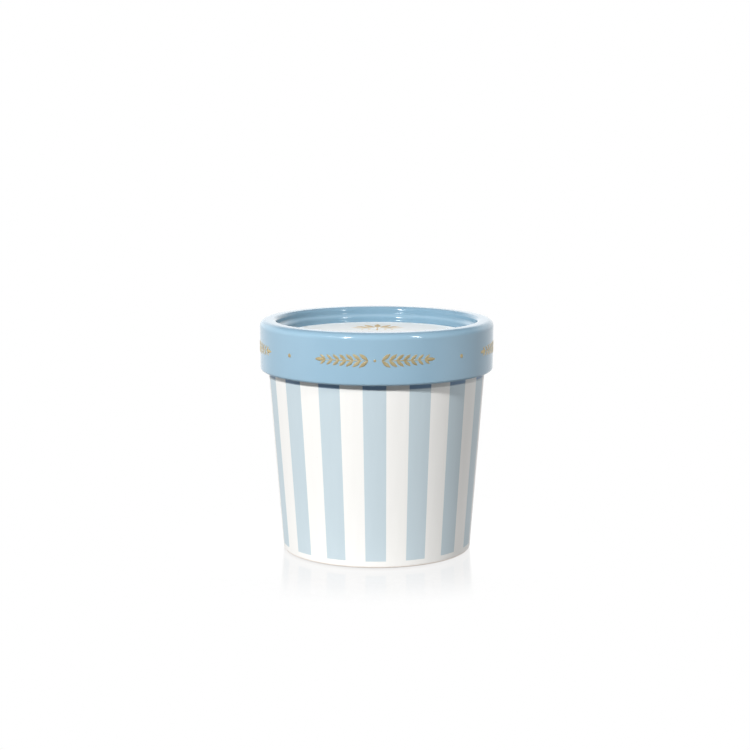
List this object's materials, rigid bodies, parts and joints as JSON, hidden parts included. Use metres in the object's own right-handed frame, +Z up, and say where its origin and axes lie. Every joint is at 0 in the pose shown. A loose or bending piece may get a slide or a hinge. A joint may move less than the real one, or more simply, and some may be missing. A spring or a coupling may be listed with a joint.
{
  "type": "lidded gelato cup",
  "caption": "Round glazed ceramic cup that widens towards its mouth, shut by a deep cap lid with a broad rounded rim, a stepped inner wall and a flat dished top. It stands on a foot ring.",
  "frame": {"origin": "centre of the foot ring, on the surface that the cup stands on", "axes": "+Z up along the axis of the cup and lid, -Y towards the front"},
  "size_m": [0.096, 0.096, 0.0954],
  "materials": {
    "white_glaze": "satin",
    "blue_glaze": "gloss",
    "gold_lustre": "satin"
  },
  "bodies": {
    "root": {"cup": "white_glaze", "lid": "blue_glaze"}
  },
  "joints": []
}
